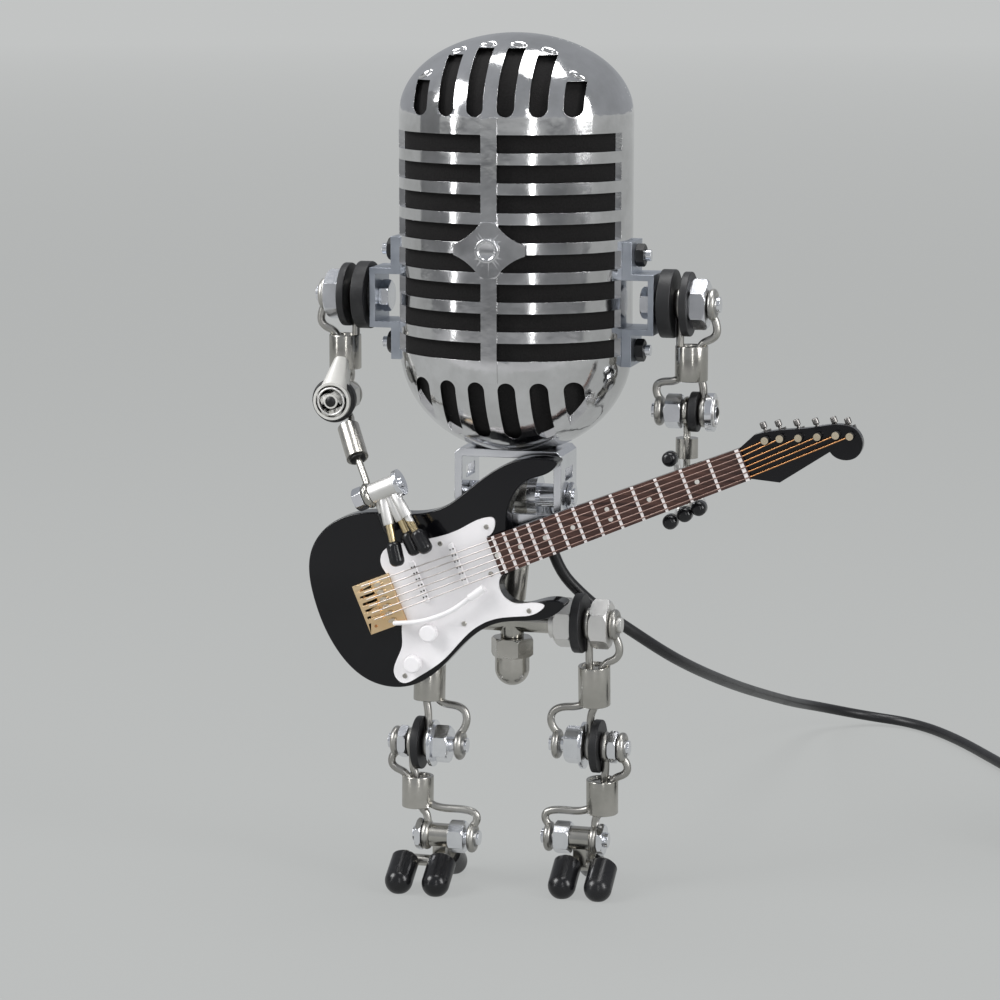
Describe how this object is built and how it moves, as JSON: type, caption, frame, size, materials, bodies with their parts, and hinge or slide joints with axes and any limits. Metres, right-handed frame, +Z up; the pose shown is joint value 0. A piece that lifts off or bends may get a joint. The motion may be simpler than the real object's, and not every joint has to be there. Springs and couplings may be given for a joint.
{
  "type": "table lamp",
  "caption": "Robot-shaped table lamp: slotted microphone head, bolted steel-wire limbs that pose, an electric guitar in its hands and a mains cord.",
  "frame": {"origin": "middle of the lamp's bounding box without its cord, on the surface it stands on", "axes": "+Z up, the lamp faces -Y, the viewer's right is +X"},
  "size_m": [0.2273, 0.2245, 0.218],
  "materials": {
    "head_chrome": "polished",
    "liner_black": "matte",
    "chrome": "polished",
    "steel_wire": "stranded",
    "satin_steel": "satin",
    "black_rubber": "matte",
    "cord_black": "satin",
    "gloss_black": "high gloss",
    "white_plastic": "gloss",
    "cream_plastic": "gloss",
    "dark_wood": "satin",
    "gold": "polished",
    "brass_rod": "satin",
    "frosted_glass": "frosted",
    "board_green": "matte",
    "black_plastic": "matte"
  },
  "bodies": {
    "torso": {"spine_tube": "satin_steel", "neck_hardware": "chrome", "hip_tee": "satin_steel", "hip_hardware": "chrome", "hip_rubber": "black_rubber", "acorn_nut": "chrome", "cord_lead": "cord_black", "cord_coil": "cord_black", "cord_plug": "black_plastic", "cord_tie": "black_plastic"},
    "head": {"front_shell": "head_chrome", "rear_shell": "head_chrome", "grille_liner": "liner_black", "led_bulb": "frosted_glass", "lamp_holder": "black_plastic", "dimmer_board": "board_green", "yoke": "chrome", "shoulder_brackets": "chrome", "bracket_screws": "chrome", "shoulder_bolts": "chrome", "shoulder_washers": "black_rubber", "guitar_body": "gloss_black", "guitar_neck": "gloss_black", "fretboard": "dark_wood", "pickguard": "white_plastic", "guitar_bridge": "gold", "tuners": "gold", "strings": "steel_wire", "pickups": "white_plastic", "knobs": "white_plastic", "tremolo_arm": "white_plastic", "guitar_bracket": "chrome"},
    "left_upper_arm": {"left_upper_arm": "satin_steel", "left_elbow_hardware": "chrome", "left_elbow_rubber": "black_rubber"},
    "left_forearm": {"left_forearm": "satin_steel", "left_wrist_hardware": "chrome"},
    "left_hand": {"left_hand": "brass_rod", "left_fingertips": "black_rubber"},
    "left_thigh": {"left_thigh": "satin_steel", "left_knee_hardware": "chrome", "left_knee_rubber": "black_rubber"},
    "left_shin": {"left_shin": "satin_steel", "left_ankle_hardware": "chrome"},
    "left_foot": {"left_foot": "satin_steel", "left_toe_caps": "black_rubber"},
    "right_upper_arm": {"right_upper_arm": "satin_steel", "right_elbow_hardware": "chrome", "right_elbow_rubber": "black_rubber"},
    "right_forearm": {"right_forearm": "satin_steel", "right_wrist_hardware": "chrome"},
    "right_hand": {"right_hand": "satin_steel", "right_fingertips": "black_rubber"},
    "right_thigh": {"right_thigh": "satin_steel", "right_knee_hardware": "chrome", "right_knee_rubber": "black_rubber"},
    "right_shin": {"right_shin": "satin_steel", "right_ankle_hardware": "chrome"},
    "right_foot": {"right_foot": "satin_steel", "right_toe_caps": "black_rubber"}
  },
  "joints": [
    {"name": "head_tilt", "type": "hinge", "parent": "torso", "child": "head", "pos_m": [-0.01921, 0.0009, 0.1026], "axis": [-1, 0, 0], "range_deg": [-2, 15]},
    {"name": "left_shoulder", "type": "hinge", "parent": "head", "child": "left_upper_arm", "pos_m": [-0.06421, 0.0009, 0.152], "axis": [-1, 0, 0], "range_deg": [0, 60]},
    {"name": "right_shoulder", "type": "hinge", "parent": "head", "child": "right_upper_arm", "pos_m": [0.02579, 0.0009, 0.152], "axis": [1, 0, 0], "range_deg": [0, 40]},
    {"name": "left_elbow", "type": "hinge", "parent": "left_upper_arm", "child": "left_forearm", "pos_m": [-0.06521, -0.0031, 0.1256], "axis": [0, 1, 0], "range_deg": [0, 50]},
    {"name": "right_elbow", "type": "hinge", "parent": "right_upper_arm", "child": "right_forearm", "pos_m": [0.02479, 0.0009, 0.1253], "axis": [1, 0, 0], "range_deg": [0, 40]},
    {"name": "left_wrist", "type": "hinge", "parent": "left_forearm", "child": "left_hand", "pos_m": [-0.05181, -0.0191, 0.104], "axis": [-0.9121, 0, -0.41], "range_deg": [0, 45]},
    {"name": "right_wrist", "type": "hinge", "parent": "right_forearm", "child": "right_hand", "pos_m": [0.02474, 0.0009, 0.1076], "axis": [0, 1, 0], "range_deg": [-30, 30]},
    {"name": "left_hip", "type": "hinge", "parent": "torso", "child": "left_thigh", "pos_m": [-0.04121, 0.0009, 0.0702], "axis": [1, 0, 0], "range_deg": [-8, 20]},
    {"name": "right_hip", "type": "hinge", "parent": "torso", "child": "right_thigh", "pos_m": [0.00099, 0.0009, 0.0702], "axis": [1, 0, 0], "range_deg": [-8, 20]},
    {"name": "left_knee", "type": "hinge", "parent": "left_thigh", "child": "left_shin", "pos_m": [-0.04021, -0.0021, 0.0372], "axis": [1, 0, 0], "range_deg": [0, 45]},
    {"name": "right_knee", "type": "hinge", "parent": "right_thigh", "child": "right_shin", "pos_m": [-0.00121, 0.00285, 0.038], "axis": [1, 0, 0], "range_deg": [0, 45]},
    {"name": "left_ankle", "type": "hinge", "parent": "left_shin", "child": "left_foot", "pos_m": [-0.03801, -0.0031, 0.0132], "axis": [1, 0, 0], "range_deg": [-15, 15]},
    {"name": "right_ankle", "type": "hinge", "parent": "right_shin", "child": "right_foot", "pos_m": [-0.00241, 0.0035, 0.0132], "axis": [1, 0, 0], "range_deg": [-15, 15]}
  ]
}
